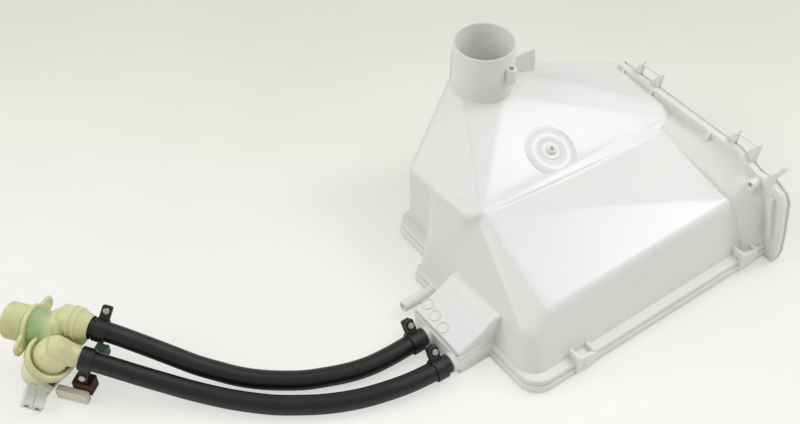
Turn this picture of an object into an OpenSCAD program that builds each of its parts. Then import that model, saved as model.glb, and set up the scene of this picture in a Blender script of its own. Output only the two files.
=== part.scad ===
// Detergent dispenser housing with two hoses and a double water inlet valve.
// The housing lies with its flat lid on the floor and its outlet pipe up.
// Origin: on the lid's outer face, on its centre line, level with the outlet pipe.
// +Z goes up through the outlet pipe, +Y goes out of the drawer's opening.

/* [Housing] */
// wall thickness of the hopper
wall = 2; // [1.5:0.1:3]
// height of the lid, up to the seam
lid_h = 8; // [6:0.5:12]
// thickness of the lid's outer skin
lid_skin = 1.8; // [1.2:0.1:3]
// height of the hopper's flange above the seam
seam_h = 5; // [3:0.5:8]

/* [Outlet pipe] */
// outside diameter of the outlet pipe
pipe_od = 46.8; // [40:0.2:56]
// wall thickness of the outlet pipe
pipe_wall = 1.5; // [1:0.1:3]
// height of the pipe's rim above the floor
pipe_top = 140; // [130:1:160]

/* [Hoses] */
// outside diameter of the hoses
hose_od = 14; // [12:0.5:18]
// bore of the hoses
hose_id = 9; // [7:0.5:12]
// width of a hose clamp
clamp_w = 9; // [7:0.5:12]

/* [Valve] */
// outside diameter of the inlet thread
thread_od = 26.4; // [24:0.1:30]
// travel of the valve plungers
plunger_stroke = 3; // [2:0.5:4]
// height of the diaphragm rims above the floor
valve_z = 36; // [36:1:60]

/* [Hidden] */
$fn = 48;

seam_z = lid_h;
box_h = 15.5;
pipe_x = -104;
pipe_r = pipe_od / 2;
rim_h = 9;
valve_pos = [-108.3, -363.4];
valve_turn = 38;
valve_lean = 33;
valve_pitch = 28;
disc_at = [-33, 9.7, 76.8];

// centres and radii of the hopper's rounded outer corners: x, y, z, radius
tub_pts = [[-58, -73, 4, 4], [-41, -98, 4, 5], [73.4, -90, 4, 14],
  [73.4, 116, 4, 14], [-58, 116, 4, 4], [-57, -73, 58, 5],
  [-40, -88, 34, 8], [61.7, -85.7, 30, 12], [58, -72, 38.4, 12],
  [-16, -66.8, 68.3, 6], [-13, 1, 62.3, 6], [-15, 114, 57, 6],
  [58, 116, 38.4, 12]];
funnel_pts = [[-88, -74, 4, 4], [-24, -74, 4, 4], [-16, 120, 4, 4],
  [-87, 144, 4, 4], [-16, 144, 4, 4], [-89, -73, 61.5, 5],
  [-24, -72.5, 65, 5], [-18, -67.5, 70.4, 4], [-93, 35.5, 98.5, 4],
  [-50, 90, 75, 4], [-28, 103, 65.2, 4], [-16, 107, 59.5, 4],
  [-84, 128, 62, 4], [-84, 144, 60, 4], [-16, 144, 59, 4]];
collar_pts = [[-15, 59.5, 4], [58, 42.7, 10], [80.5, 6, 8], [-15, 4, 4]];

// centre line of each hose, from the valve to the inlet box
route_1 = [[-110.5, -333, 42.5], [-100.5, -322.5, 38], [-90.5, -312.5, 32.5],
  [-79.5, -302.5, 27.5], [-69, -293, 22.5], [-58, -283.5, 18],
  [-47.5, -273, 14], [-37, -262.5, 11], [-27.5, -251, 8.7],
  [-18.5, -238.5, 7.5], [-10, -225.5, 7.2], [-3.5, -212, 7.2],
  [2.5, -197.5, 7.5], [6.5, -183, 8], [8.5, -168, 9], [9, -153, 9.7],
  [9, -138, 10]];
route_2 = [[-99.5, -350, 34.5], [-89, -339.5, 30.5], [-78.5, -329, 26],
  [-68, -318.5, 21.5], [-57.5, -308, 17.5], [-46.5, -297.5, 14],
  [-35.5, -287, 11.5], [-24.5, -276, 9.5], [-14, -264.5, 8],
  [-4, -253, 7.4], [5, -240.5, 7.2], [13.5, -227.5, 7.2],
  [21, -213.5, 7.5], [27, -199.5, 8], [32, -184.5, 9],
  [35.5, -169.5, 9.5], [37.5, -154, 10], [38, -138.5, 10]];

function grow(pts, d) = [for (p = pts) [p[0], p[1], p[2], p[3] + d]];
function unit(v) = v / norm(v);
function arc(cx, cy, r, a0, a1, n = 6) =
  [for (i = [0:n]) [cx + r * cos(a0 + (a1 - a0) * i / n), cy + r * sin(a0 + (a1 - a0) * i / n)]];

// outline of the seam, seen from above, counter-clockwise from the front
function seam_outline(e = 0) = concat(
  [[-95 - e, 134]],
  arc(-84, -74, 13 + e, 180, 270),
  [[-61, -87 - e]],
  arc(-58, -98, 11 - e, 80, 10),
  arc(-41, -100, 5.5 + e, 190, 270),
  [[-9 - e, -105.5 - e], [-9 - e, -132 - e], [44 + e, -132 - e], [44 + e, -105.5 - e]],
  arc(76, -89.5, 16 + e, -90, 0),
  [[92 + e, 134]]);

// outline of the front frame, seen from the front
frame_outline = [[-83, 61], [-82, 74.5], [45, 74.5], [68, 67.5], [81, 68],
  [92, 63], [96.4, 56], [98, 45], [101, 26], [102.5, 10], [101, 0],
  [-96, 0], [-94, 40]];

// sweeps a tube with a bore along a route; the ends are square to it
module tube_along(pts, r_out, r_in, sides = 12) {
  n = len(pts);
  t = [for (i = [0:n - 1]) unit(pts[min(i + 1, n - 1)] - pts[max(i - 1, 0)])];
  side = [for (i = [0:n - 1]) unit(cross(t[i], [0, 0, 1]))];
  up = [for (i = [0:n - 1]) cross(side[i], t[i])];
  ring = function(r) [for (i = [0:n - 1]) for (k = [0:sides - 1])
    pts[i] + r * (cos(360 * k / sides) * side[i] + sin(360 * k / sides) * up[i])];
  m = n * sides;
  skin = [for (i = [0:n - 2]) for (k = [0:sides - 1])
    [i * sides + k, (i + 1) * sides + k,
     (i + 1) * sides + (k + 1) % sides, i * sides + (k + 1) % sides]];
  bore = [for (f = skin) [f[3] + m, f[2] + m, f[1] + m, f[0] + m]];
  e = (n - 1) * sides;
  first = [for (k = [0:sides - 1]) [k, (k + 1) % sides, m + (k + 1) % sides, m + k]];
  last = [for (k = [0:sides - 1])
    [e + (k + 1) % sides, e + k, m + e + k, m + e + (k + 1) % sides]];
  polyhedron(concat(ring(r_out), ring(r_in)), concat(skin, bore, first, last));
}

module blob(pts) {
  hull()
    for (p = pts)
      translate([p[0], p[1], p[2]]) sphere(r = p[3], $fn = 28);
}

module bar_hull(pts, y0, y1) {
  hull()
    for (p = pts)
      translate([p[0], y0, p[1]]) rotate([-90, 0, 0]) cylinder(h = y1 - y0, r = p[2], $fn = 32);
}

// a short tilted disc where the funnel meets the outlet pipe
module pipe_foot(r) {
  translate([pipe_x, 0, 103]) rotate([0, 8, 0]) cylinder(h = 1, r = r, $fn = 48);
}

module funnel(d) {
  hull() {
    for (p = grow(funnel_pts, d))
      translate([p[0], p[1], p[2]]) sphere(r = p[3], $fn = 28);
    translate([0, 0, d * 0.7]) pipe_foot(pipe_r + 0.8 + d);
  }
}

// the inlet box on the hopper's back, seen from its side and drawn across it
module inlet_cap(x0, x1, d) {
  translate([x0, 0, 0]) rotate([90, 0, 90])
    linear_extrude(x1 - x0)
      polygon([[-133 + d, seam_z], [-133 + d, 21.5 - d], [-129.5 + d, 22.7 - d],
        [-107, 33 - d], [-101, 37.5 - d], [-90, 41 - d], [-90, seam_z]]);
}

module hopper_skin() {
  difference() {
    union() {
      blob(tub_pts);
      funnel(0);
      bar_hull(collar_pts, 106, 131);
      inlet_cap(-8, 43, 0);
      translate([0, 0, seam_z]) linear_extrude(seam_h) polygon(seam_outline());
      front_frame();
      translate([pipe_x, 0, 96]) cylinder(h = pipe_top - 96, r = pipe_r, $fn = 72);
      translate([pipe_x, 0, 96])
        cylinder(h = pipe_top - rim_h - 96, r1 = pipe_r + 0.75, r2 = pipe_r + 0.4, $fn = 72);
    }
    difference() {
      union() {
        blob(grow(tub_pts, -wall));
        funnel(-wall);
        bar_hull(grow2(collar_pts, -wall), 108, 140);
      }
      drawer_rails();
    }
    inlet_cap(-6, 41, 2);
    translate([-9.5, -134, 0]) cube([55, 29.2, box_h + 0.1]);
    translate([-23, -100, 8]) rotate([90, 0, 0]) cylinder(h = 40, r = 4.1);
    translate([-150, -150, -20]) cube([300, 320, 20 + seam_z]);
    translate([-120, 134, -20]) cube([240, 40, 140]);
    translate([pipe_x, 0, 90]) cylinder(h = 60, r = pipe_r - pipe_wall, $fn = 72);
    front_groove();
  }
}

function grow2(pts, d) = [for (p = pts) [p[0], p[1], p[2] + d]];

// flange round the drawer's opening, with a groove for a seal in its edge
module front_frame() {
  translate([0, 134, 0]) rotate([90, 0, 0]) linear_extrude(8) polygon(frame_outline);
}

module front_groove() {
  translate([0, 131.5, 0]) rotate([90, 0, 0]) linear_extrude(3)
    difference() {
      polygon([[-120, -5], [-120, 100], [120, 100], [120, -5]]);
      polygon([[-78, 61], [-77, 69.5], [44.5, 69.5], [67.5, 62.3], [80, 62.8],
        [88, 59], [91.6, 54], [93.1, 44.5], [96.1, 25.5], [97.5, 10], [96.2, -6],
        [-91, -6], [-89, 40]]);
    }
}

// loop above the front frame: two leaning gussets and a bar round a slot
module front_loop(x) {
  translate([x, 134, 0]) rotate([90, 0, 0]) linear_extrude(3.5) {
    polygon([[-1, 68], [0, 73], [10, 85.8], [11, 85.8], [8.6, 73], [8.6, 68]]);
    polygon([[20, 68], [21.3, 75], [29.3, 87.5], [30.6, 87.5], [29.4, 73], [29.4, 68]]);
    polygon([[9, 84], [9, 85.8], [29.5, 85.8], [29.5, 84]]);
  }
}

// bracket on the frame's upper corner, and a screw boss beside it
module corner_bracket() {
  translate([0, 130, 0]) rotate([90, 0, 0]) linear_extrude(4)
    polygon([[70, 62], [77, 71], [86, 88], [88.6, 85.6], [81, 70], [87, 60]]);
  difference() {
    union() {
      translate([69.5, 117, 62.5]) rotate([-90, 0, 0]) cylinder(h = 10, r = 4, $fn = 32);
      translate([68, 119, 40]) cube([3, 8, 22]);
    }
    translate([69.5, 110, 62.5]) rotate([-90, 0, 0]) cylinder(h = 14, r = 1.8, $fn = 24);
  }
}

// small gussets that stiffen the front frame's upper edge
module frame_gussets() {
  for (x = [-76, -44, 18])
    translate([x, 0, 0]) rotate([90, 0, 90]) linear_extrude(2.4)
      polygon([[117, 58], [127, 58], [127, 73.5], [123, 73.5]]);
}

// three plain raised rings on the inlet box's sloping top
module box_rings() {
  for (i = [0:2])
    translate([-3.5 + i * 12.6, -124.4 - i * 1.2, 24.9 - i * 0.55]) rotate([24.6, 0, 0])
      difference() {
        translate([0, 0, -0.6]) cylinder(h = 1.1, r = 4.4, $fn = 40);
        cylinder(h = 2, r = 3.7, $fn = 40);
      }
}

// bayonet lug, rib and fin on the outlet pipe
module pipe_details() {
  translate([pipe_x, 0, 0]) {
    difference() {
      rotate([0, 0, 11]) translate([pipe_r - 1, -5, 116]) cube([5, 10, 13]);
      rotate([0, 0, 11]) translate([pipe_r + 1.8, 0, 112]) cylinder(h = 20, r = 1.7, $fn = 24);
      cylinder(h = 160, r = pipe_r - pipe_wall, $fn = 72);
    }
    difference() {
      rotate([0, 0, 234]) translate([pipe_r - 1, -2, 106]) cube([2.8, 4, 22]);
      cylinder(h = 160, r = pipe_r - pipe_wall, $fn = 72);
    }
    translate([6, 22, 98]) cube([2, 24, 20]);
  }
}

// raised gate disc on the sloping panel, with a ring and a centre boss
module gate_disc() {
  translate(disc_at) rotate(a = 25.6, v = [-0.056, 0.476, 0]) {
    translate([0, 0, -1.5]) cylinder(h = 2.4, r = 20.4, $fn = 72);
    cylinder(h = 1.7, r = 6.8);
    cylinder(h = 3, r = 3.2);
  }
}

// runners for the drawer, left standing on both side walls
module drawer_rails() {
  for (z = [16, 26]) {
    translate([-140, -60, z]) cube([54, 190, 2]);
    translate([75 - (z - 16) * 0.54, -60, z]) cube([40, 190, 2]);
  }
}

module side_clips() {
  translate([84, -68, 9]) cube([10.5, 2, 14]);
  translate([84, -52, 9]) cube([10.5, 2, 14]);
  translate([91.5, -68, 9]) cube([3, 18, 12]);
  for (y = [-57, -51.5])
    translate([80, y, 12]) cube([8, 1.5, 5]);
  translate([84, 96, 9]) cube([11, 2, 20]);
  translate([84, 112, 9]) cube([11, 2, 12]);
  translate([92, 96, 9]) cube([3, 18, 14]);
}

module hopper() {
  color([0.88, 0.88, 0.86]) {
    hopper_skin();
    for (x = [-71.4, 29.6])
      front_loop(x);
    corner_bracket();
    frame_gussets();
    box_rings();
    pipe_details();
    gate_disc();
    side_clips();
  }
}

module spigot(x, z) {
  translate([x, -131, z]) rotate([90, 0, 0]) {
    cylinder(h = 21, r = hose_id / 2);
    translate([0, 0, 2]) cylinder(h = 4.5, r = 7.5);
  }
}

module lid() {
  color([0.9, 0.91, 0.87])
    difference() {
      union() {
        linear_extrude(lid_h) polygon(seam_outline(1));
        translate([-9, -133, 0]) cube([54, 28, box_h]);
        spigot(9, 10);
        spigot(38, 10);
        translate([-23, -104, 8]) rotate([90, 0, 0]) cylinder(h = 29, r = 3.75);
        translate([-98, 126, 0]) cube([200, 8, lid_h]);
      }
      difference() {
        translate([0, 0, lid_skin]) linear_extrude(lid_h) polygon(seam_outline(-2));
        for (x = [-60, -28, 4, 36, 66])
          translate([x, -100, 0]) cube([1.6, 190, lid_h]);
        translate([-92, 88, 0]) cube([180, 1.6, lid_h]);
        translate([-10, -106, 0]) cube([56, 2, 14]);
      }
      translate([-6, -130, 2]) cube([22.7, 24, 16]);
      translate([18.3, -130, 2]) cube([22.7, 24, 16]);
      for (x = [9, 38])
        translate([x, -129, 10]) rotate([90, 0, 0]) cylinder(h = 40, r = 3);
      translate([-23, -100, 8]) rotate([90, 0, 0]) cylinder(h = 40, r = 2.2);
      translate([-100, 131.5, -1]) cube([210, 40, 0.5]);
    }
}

module shower_plate() {
  color([0.92, 0.92, 0.89])
    difference() {
      translate([-82, -68, lid_h]) cube([158, 186, 1.6]);
      for (i = [0:4])
        for (j = [0:7])
          translate([-74 + i * 11, -50 + j * 16, 0]) cylinder(h = 20, r = 1.5, $fn = 16);
      for (i = [0:3])
        for (j = [0:7])
          translate([14 + i * 11, -50 + j * 16, 0]) cylinder(h = 20, r = 1.5, $fn = 16);
    }
}

module hose_1() {
  color([0.05, 0.05, 0.05]) tube_along(route_1, hose_od / 2, hose_id / 2);
}

module hose_2() {
  color([0.05, 0.05, 0.05]) tube_along(route_2, hose_od / 2, hose_id / 2);
}

// band clamp with a screw ear, its axis along +X and the ear up
module clamp() {
  color([0.07, 0.07, 0.07])
    rotate([0, 90, 0]) translate([0, 0, -clamp_w / 2])
      difference() {
        union() {
          cylinder(h = clamp_w, r = hose_od / 2 + 1.4);
          translate([-hose_od / 2 - 11, -3.5, 1]) cube([12, 7, clamp_w - 2]);
        }
        translate([0, 0, -1]) cylinder(h = clamp_w + 2, r = hose_od / 2);
        translate([-hose_od / 2 - 12, -0.5, -1]) cube([11, 1, clamp_w + 2]);
        translate([-hose_od / 2 - 7.5, 0, clamp_w / 2]) rotate([90, 0, 0])
          cylinder(h = 20, r = 1.6, center = true, $fn = 24);
      }
}

// puts a clamp on a route, between two of its points
module clamp_on(pts, i, turn) {
  a = pts[i];
  b = pts[i + 1];
  d = b - a;
  translate((a + b) / 2)
    rotate([0, -asin(d[2] / norm(d)), atan2(d[1], d[0])]) rotate([turn, 0, 0]) clamp();
}

module clamp_1_box() {
  clamp_on(route_1, 15, -35);
}

module clamp_2_box() {
  clamp_on(route_2, 16, -35);
}

module clamp_1_valve() {
  clamp_on(route_1, 0, 20);
}

module clamp_2_valve() {
  clamp_on(route_2, 0, 165);
}

// places a piece in the valve's own frame: +X along its outlets, +Y to its rear coil
module in_valve() {
  translate([valve_pos[0], valve_pos[1], 0]) rotate([0, 0, valve_turn]) children();
}

// places a piece on the axis of one coil, +Z out of the diaphragm's dome
module on_coil(k) {
  in_valve() translate([0, k * valve_pitch, valve_z]) rotate([0, valve_lean, 0]) children();
}

module valve_shell() {
  for (k = [0, 1])
    on_coil(k) {
      translate([0, 0, -9]) cylinder(h = 9, r = 16.4);
      translate([0, 0, -3]) cylinder(h = 2, r = 17);
      cylinder(h = 4, r = 13);
      translate([0, 0, 4]) rotate_extrude($fn = 64)
        polygon([[0, -1], [12, -1], [12, 2.5], [11.2, 4.3], [9.4, 5.6], [6, 6.6], [0, 7]]);
    }
  in_valve() {
    translate([-20.5, 17.5, 40]) rotate([0, 90, 0]) cylinder(h = 16, r = 12.5);
    translate([-12, 6, 31]) cube([16, 20, 18]);
    translate([-23.5, 17.5, 40]) rotate([0, 90, 0]) {
      cylinder(h = 3, r = 15.5);
      difference() {
        translate([-8, -25.5, 0]) cube([16, 51, 3]);
        for (b = [-21, 21])
          translate([0, b, -1]) cylinder(h = 5, r = 2.2, $fn = 32);
      }
    }
    translate([-41, 17.5, 40]) rotate([0, 90, 0]) cylinder(h = 20, r = thread_od / 2);
    translate([0, 25.3, 44.8]) rotate([0, 103, 0]) cylinder(h = 15, r = 8.2);
    translate([-3, 25.3, 44]) sphere(r = 9, $fn = 32);
    translate([0, 5, 36.5]) rotate([0, 103, 0]) cylinder(h = 11, r = 8.2);
  }
}

module nozzle(pts) {
  d = pts[1] - pts[0];
  translate(pts[0]) rotate([0, 90 - asin(d[2] / norm(d)), atan2(d[1], d[0])])
    translate([0, 0, -6]) cylinder(h = 20, r = hose_id / 2);
}

module nozzle_bore(pts) {
  d = pts[1] - pts[0];
  translate(pts[0]) rotate([0, 90 - asin(d[2] / norm(d)), atan2(d[1], d[0])])
    translate([0, 0, -10]) cylinder(h = 30, r = 2.6);
}

module valve_body() {
  color([0.78, 0.78, 0.55])
    difference() {
      union() {
        valve_shell();
        nozzle(route_1);
        nozzle(route_2);
      }
      in_valve()
        translate([-45, 17.5, 40]) rotate([0, 90, 0]) cylinder(h = 30.5, r = 9.5);
      nozzle_bore(route_1);
      nozzle_bore(route_2);
      for (k = [0, 1])
        on_coil(k) {
          translate([0, 0, -12]) cylinder(h = 8, r = 10);
          translate([0, 0, -34]) cylinder(h = 20.4, r = 12.4);
          translate([-8.4, -7.4, -34]) cube([26, 14.8, 22.4]);
          translate([0, 0, -14]) cylinder(h = 5, r = 9.4);
        }
    }
}

module inlet_strainer() {
  color([0.85, 0.87, 0.9])
    in_valve() translate([-36, 17.5, 40]) rotate([0, 90, 0])
      difference() {
        cylinder(h = 13, r = 9.4);
        translate([0, 0, -1]) cylinder(h = 12, r = 8);
        for (a = [0:30:330])
          rotate([0, 0, a]) translate([3.5, -0.8, 10]) cube([4, 1.6, 4]);
      }
}

module flow_regulator() {
  color([0.2, 0.45, 0.25])
    in_valve() translate([-21, 17.5, 40]) rotate([0, 90, 0])
      difference() {
        cylinder(h = 5, r = 9.4);
        translate([0, 0, -1]) cylinder(h = 8, r = 2.2);
      }
}

// rubber membrane in a valve chamber, with a hole that the plunger closes
module diaphragm(k) {
  color([0.1, 0.1, 0.1])
    on_coil(k)
      difference() {
        translate([0, 0, -6.8]) cylinder(h = 1.8, r = 9.9);
        translate([0, 0, -8]) cylinder(h = 5, r = 2.35);
      }
}

module diaphragm_1() {
  diaphragm(1);
}

module diaphragm_2() {
  diaphragm(0);
}

module guide_tube(k) {
  color([0.6, 0.62, 0.64])
    on_coil(k)
      difference() {
        union() {
          translate([0, 0, -11.5]) cylinder(h = 2.5, r = 9);
          translate([0, 0, -31]) cylinder(h = 20, r = 5.2);
        }
        translate([0, 0, -29.5]) cylinder(h = 30, r = 4.3);
      }
}

module guide_tube_1() {
  guide_tube(1);
}

module guide_tube_2() {
  guide_tube(0);
}

module plunger(k) {
  color([0.5, 0.52, 0.55])
    on_coil(k) {
      translate([0, 0, -22]) cylinder(h = 15, r = 4.22);
      translate([0, 0, -7.1]) cylinder(h = 2.6, r = 2);
    }
}

module plunger_1() {
  plunger(1);
}

module plunger_2() {
  plunger(0);
}

// closing spring above a plunger, as a stack of turns on a thin core
module plunger_spring(k) {
  color([0.7, 0.7, 0.72])
    on_coil(k) translate([0, 0, -29.4]) {
      for (i = [0:4])
        translate([0, 0, 0.1 + i * 1.6]) rotate_extrude($fn = 32)
          translate([2.6, 0.4]) circle(r = 0.4, $fn = 16);
      for (a = [0:90:270])
        rotate([0, 0, a]) translate([2.3, -0.15, 0]) cube([0.5, 0.3, 7.3]);
    }
}

module plunger_spring_1() {
  plunger_spring(1);
}

module plunger_spring_2() {
  plunger_spring(0);
}

module coil(k) {
  color([0.86, 0.84, 0.72])
    on_coil(k) mirror([0, k, 0])
      difference() {
        union() {
          translate([0, 0, -31]) cylinder(h = 17, r = 12);
          translate([-1, -12, -30]) cube([15, 4.5, 9]);
        }
        translate([0, 0, -40]) cylinder(h = 40, r = 5.3);
      }
}

module coil_1() {
  coil(1);
}

module coil_2() {
  coil(0);
}

// steel strap over both ends of a coil and down its outer side
module yoke(k) {
  color([0.62, 0.63, 0.62])
    on_coil(k)
      difference() {
        translate([-8, -7, -32.6]) cube([22.6, 14, 20.6]);
        translate([-9, -8, -31.1]) cube([22.1, 16, 17.6]);
        translate([0, 0, -40]) cylinder(h = 40, r = 5.3);
      }
}

module yoke_1() {
  yoke(1);
}

module yoke_2() {
  yoke(0);
}

// terminal shroud of a coil with two blades inside
module terminals(k) {
  color([0.82, 0.85, 0.82])
    on_coil(k) mirror([0, k, 0]) {
      difference() {
        translate([-3, -27, -31]) cube([15, 14.9, 8.5]);
        translate([-1.8, -30, -29.4]) cube([6, 14, 5.4]);
        translate([5.2, -30, -29.4]) cube([5.6, 14, 5.4]);
      }
      for (x = [-1, 6])
        translate([x, -25.5, -27.2]) cube([4, 10, 0.8]);
    }
}

module terminals_1() {
  terminals(1);
}

module terminals_2() {
  terminals(0);
}

module connector_base(k) {
  color([0.85, 0.86, 0.8])
    in_valve() translate([0, k * valve_pitch, 0])
      translate([0.5, -11, 0]) cube([24, 8, 9]);
}

module connector_base_1() {
  connector_base(1);
}

module connector_base_2() {
  connector_base(0);
}

module connector_block(k) {
  in_valve() translate([0, k * valve_pitch, 0])
    difference() {
      translate([11, -3, 3]) cube([14, 11, 11]);
      for (y = [-1, 3.5])
        translate([18, y, 6]) cube([12, 2.5, 5]);
    }
}

module connector_red() {
  color([0.3, 0.08, 0.07]) connector_block(0);
}

module connector_green() {
  color([0.12, 0.28, 0.22]) connector_block(1);
}

hopper();
lid();
shower_plate();
hose_1();
hose_2();
clamp_1_box();
clamp_2_box();
clamp_1_valve();
clamp_2_valve();
valve_body();
inlet_strainer();
flow_regulator();
diaphragm_1();
diaphragm_2();
guide_tube_1();
guide_tube_2();
plunger_1();
plunger_2();
plunger_spring_1();
plunger_spring_2();
coil_1();
coil_2();
yoke_1();
yoke_2();
terminals_1();
terminals_2();
connector_base_1();
connector_base_2();
connector_red();
connector_green();
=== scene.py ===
# %% [markdown]
# # A detergent dispenser housing with its hoses and inlet valve
# The housing lies on its lid with the outlet pipe up, and two black hoses lead to a double solenoid valve.
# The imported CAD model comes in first, as a fixed frame: every piece below is made in the same place and size.

# %% Load the frame
import math

import bmesh
import bpy
import numpy as np
from mathutils import Matrix


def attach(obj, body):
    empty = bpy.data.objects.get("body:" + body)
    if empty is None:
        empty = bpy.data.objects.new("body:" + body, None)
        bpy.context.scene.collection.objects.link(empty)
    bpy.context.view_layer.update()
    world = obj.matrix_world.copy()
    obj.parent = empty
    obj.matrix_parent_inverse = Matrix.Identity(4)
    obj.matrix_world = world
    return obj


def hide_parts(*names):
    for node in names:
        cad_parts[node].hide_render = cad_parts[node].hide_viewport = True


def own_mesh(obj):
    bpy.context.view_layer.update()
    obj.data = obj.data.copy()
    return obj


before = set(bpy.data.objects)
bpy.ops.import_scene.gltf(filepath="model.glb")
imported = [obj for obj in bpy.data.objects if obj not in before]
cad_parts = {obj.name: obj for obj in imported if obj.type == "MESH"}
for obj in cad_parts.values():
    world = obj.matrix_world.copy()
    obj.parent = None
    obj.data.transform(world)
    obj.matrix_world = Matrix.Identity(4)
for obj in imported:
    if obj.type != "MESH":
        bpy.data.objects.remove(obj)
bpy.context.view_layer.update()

# %% [markdown]
# The camera comes before the pieces, because each of them is judged through it. Its place was worked out from
# the housing's straight edges: they give the direction to look in, and the hoses' inlet thread gives the distance.
# Blender's camera looks along its own -Z, so the matrix holds its right, up and backward directions as columns.

# %% Camera
eye = np.array([0.4184, -0.4541, 0.669])
look = np.array([-0.565, 0.408, -0.717])
look /= np.linalg.norm(look)
right = np.cross(look, [0, 0, 1])
right /= np.linalg.norm(right)
above = np.cross(right, look)
camera = bpy.data.objects.new("camera", bpy.data.cameras.new("camera"))
bpy.context.scene.collection.objects.link(camera)
turn = np.eye(4)
turn[:3, 0], turn[:3, 1], turn[:3, 2], turn[:3, 3] = right, above, -look, eye
camera.matrix_world = Matrix(turn.tolist())
camera.data.sensor_width = 36
camera.data.lens = 52.65
camera.data.clip_start, camera.data.clip_end = 0.02, 20
bpy.context.scene.camera = camera
print("camera", eye, "lens", camera.data.lens)

# %% [markdown]
# Every shape here is a grid of points: rows and columns of places worked out in whole arrays.
# A grid needs its four-sided faces, and a piece is often several grids, so these helpers come first.

# %% Grids of points
def grid_faces(rows, columns, wrap_rows=False, wrap_columns=False):
    """The corner numbers of the face between each point and its neighbours in the next row and column."""
    i, j = np.meshgrid(
        np.arange(rows if wrap_rows else rows - 1),
        np.arange(columns if wrap_columns else columns - 1),
        indexing="ij",
    )
    i2, j2 = (i + 1) % rows, (j + 1) % columns
    return np.stack([i * columns + j, i2 * columns + j, i2 * columns + j2, i * columns + j2], -1).reshape(-1, 4)


def grid(points, wrap_rows=False, wrap_columns=False):
    """A grid of points (rows, columns, 3) with its faces."""
    return points.reshape(-1, 3), [grid_faces(points.shape[0], points.shape[1], wrap_rows, wrap_columns)]


def joined(*parts):
    """Several shapes as one: each one's corner numbers are shifted past the points before it."""
    starts = np.cumsum([0] + [len(p) for p, f in parts[:-1]])
    return np.concatenate([p for p, f in parts]), [g + s for (p, f), s in zip(parts, starts) for g in f]


print("a 3 by 3 grid has", len(grid_faces(3, 3)), "faces")

# %% [markdown]
# A piece becomes a Blender object here. Lengths are in millimetres until this point, as on a drawing.
# Points that lie on each other are merged, which closes seams and poles, and edges sharper than a given angle
# stay crisp while the rest shades smoothly.

# %% From points to a piece
def piece(name, shape, material, body="housing", replaces=(), crisp=38, weld=0.02, turn_out=True):
    """Puts the points and faces into a mesh, in metres, and hangs it on a body of the frame."""
    points, faces = shape
    mesh = bpy.data.meshes.new(name)
    mesh.from_pydata((points * 0.001).tolist(), [], sum((group.tolist() for group in faces), []))
    merged = bmesh.new()
    merged.from_mesh(mesh)
    bmesh.ops.remove_doubles(merged, verts=merged.verts, dist=weld * 0.001)
    bmesh.ops.dissolve_degenerate(merged, edges=merged.edges, dist=1e-6)
    if turn_out:
        bmesh.ops.recalc_face_normals(merged, faces=merged.faces)
    merged.to_mesh(mesh)
    merged.free()
    mesh.shade_smooth()
    mesh.set_sharp_from_angle(angle=math.radians(crisp))
    mesh.materials.append(material)
    made = bpy.data.objects.new(name, mesh)
    bpy.context.scene.collection.objects.link(made)
    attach(made, body)
    if replaces:
        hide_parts(*replaces)
    print(name, len(mesh.polygons), "faces")
    return made

# %% [markdown]
# The finishes come next. Blender builds them from nodes, and a node takes a line to add and a line for each of its
# inputs. These helpers shorten that: one adds a node with its inputs set, one makes a ramp between two tints, one
# measures along a direction, one fades a colour into another, and one joins an output to an input.

# %% Helpers for finishes
def new_finish(name, tint):
    """A material with a node tree, its nodes and its main shader; the tint is what the solid view shows."""
    made = bpy.data.materials.new(name)
    made.use_nodes = True
    made.diffuse_color = (*tint, 1)
    return made, made.node_tree.nodes, made.node_tree.nodes["Principled BSDF"]


def add(nodes, kind, **values):
    """A new node of a kind with its inputs set; an underscore stands for the space in an input's name."""
    made = nodes.new("ShaderNode" + kind)
    for name, value in values.items():
        made.inputs[name.replace("_", " ")].default_value = value
    return made


def link(source, output, target, entry):
    """Joins one node's output to another's input."""
    target.id_data.links.new(source.outputs[output], target.inputs[entry])


def ramp(nodes, dark, light, start=0.0, end=1.0):
    """A colour that goes from dark to light while its factor goes from start to end."""
    made = nodes.new("ShaderNodeValToRGB")
    first, second = made.color_ramp.elements
    first.color, second.color = (*dark, 1), (*light, 1)
    first.position, second.position = start, end
    return made


def distance_along(nodes, direction):
    """How far a place lies along a direction: the dot product of its coordinates and the direction."""
    made = add(nodes, "VectorMath")
    made.operation = "DOT_PRODUCT"
    made.inputs[1].default_value = direction
    link(nodes["Texture Coordinate"], "Object", made, 0)
    return made


def faded(nodes, source, tint, share):
    """A ramp's colour mixed with a tint by a share that a Map Range node gives."""
    made = add(nodes, "Mix")
    made.data_type = "RGBA"
    made.inputs[7].default_value = (*tint, 1)
    link(share, "Result", made, 0)
    link(source, "Color", made, 6)
    return made


print("finish helpers ready")

# %% [markdown]
# Moulded plastic is never one flat colour: the resin varies a little from place to place, and the mould leaves
# a fine grain. One recipe serves all the plastics: broad noise moves the colour between two close tints, and
# fine noise gives the bump and moves the roughness. A photographed grain wrapped round the pieces would show its
# seams and repeats; noise in the object's own coordinates has neither, and runs on from piece to piece.

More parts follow.
